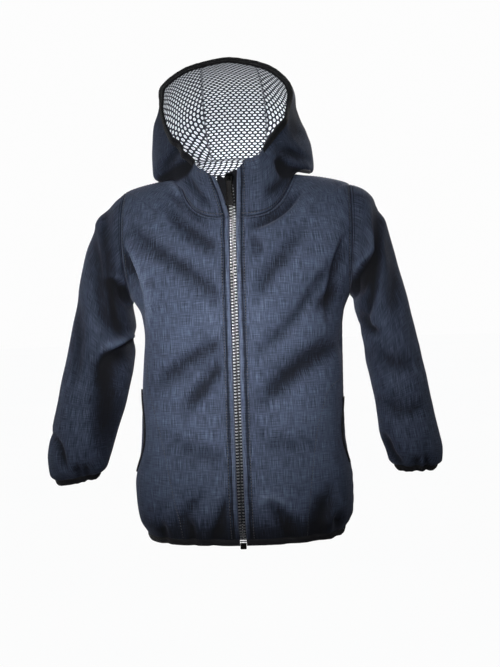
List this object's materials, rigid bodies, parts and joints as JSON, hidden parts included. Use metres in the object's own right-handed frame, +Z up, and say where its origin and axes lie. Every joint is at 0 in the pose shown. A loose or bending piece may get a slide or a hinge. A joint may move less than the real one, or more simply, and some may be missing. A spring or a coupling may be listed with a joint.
{
  "type": "softshell jacket with hood",
  "caption": "Hooded child's softshell jacket, filled out as worn with no wearer, zipped up the front, net-lined hood, bound edges and side pockets.",
  "frame": {"origin": "middle of the base of the wearer's neck, where the jacket hangs on the shoulders", "axes": "+Z up, -Y to the wearer's front, +X to the wearer's left"},
  "size_m": [0.5153, 0.1916, 0.6218],
  "materials": {
    "softshell": "dark blue melange weave bonded to fleece, matte",
    "net": "black net over a white backing, matte",
    "elastic": "black elastic binding, slight sheen",
    "zip_tape": "black ribbed woven tape",
    "zip_teeth": "moulded dark grey plastic, satin",
    "slider": "black enamel, satin"
  },
  "bodies": {
    "jacket": {"front_left": "softshell", "front_right": "softshell", "back": "softshell", "sleeve_left": "softshell", "sleeve_right": "softshell", "hood_side_left": "softshell", "hood_side_right": "softshell", "hood_centre": "softshell", "hem_binding": "elastic", "cuff_binding_left": "elastic", "cuff_binding_right": "elastic", "hood_binding": "elastic", "collar_lining": "net", "hood_lining_centre": "net", "hood_lining_left": "net", "hood_lining_right": "net", "zip_tape_left": "zip_tape", "zip_tape_right": "zip_tape", "zip_teeth_left": "zip_teeth", "zip_teeth_right": "zip_teeth", "pocket_binding_left": "elastic", "pocket_binding_right": "elastic", "zip_slider": "slider", "zip_box": "zip_teeth"},
    "pull": {"zip_pull": "slider"}
  },
  "joints": [
    {"name": "pull_hinge", "type": "hinge", "parent": "jacket", "child": "pull", "pos_m": [-0.00509, -0.07053, 0.001], "axis": [-1, 0, 0], "range_deg": [0, 150]}
  ]
}
